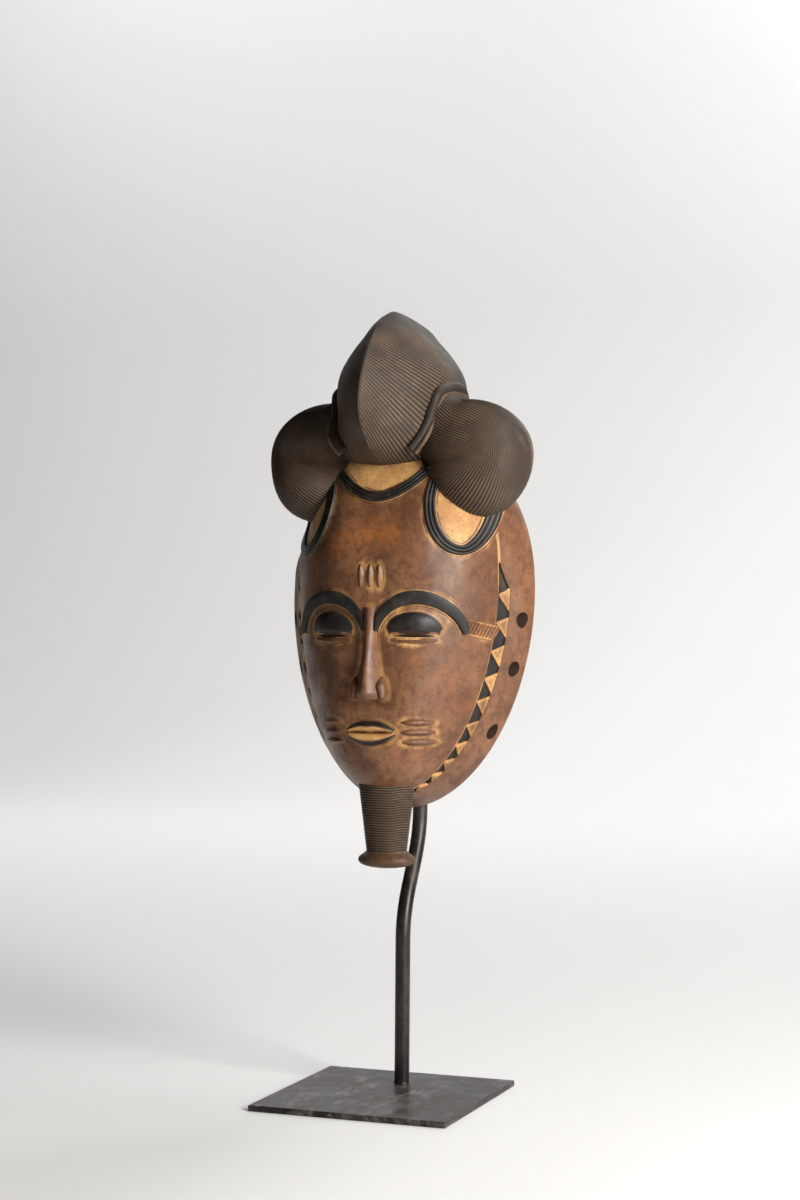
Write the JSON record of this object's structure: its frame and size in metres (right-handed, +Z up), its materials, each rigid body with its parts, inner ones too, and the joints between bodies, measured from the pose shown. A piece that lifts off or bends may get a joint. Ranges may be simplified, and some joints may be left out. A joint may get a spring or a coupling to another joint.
{
  "type": "carved wooden face mask on a display stand",
  "caption": "Hollow carved wooden face mask with combed hair buns, a keeled crest and a ringed beard, held up by a bent steel rod on a square steel foot plate.",
  "frame": {"origin": "middle of the foot plate's underside", "axes": "+Z up; the mask looks along -Y; +X is the wearer's left, at the right of a viewer who faces the mask"},
  "size_m": [0.1812, 0.1383, 0.5185],
  "materials": {
    "carved_wood": "worn, oiled and part painted",
    "black_rod": "blackened, satin",
    "dark_plate": "blackened, waxed, mottled"
  },
  "bodies": {
    "root": {"mask": "carved_wood", "stand_rod": "black_rod", "stand_foot": "dark_plate"}
  },
  "joints": []
}
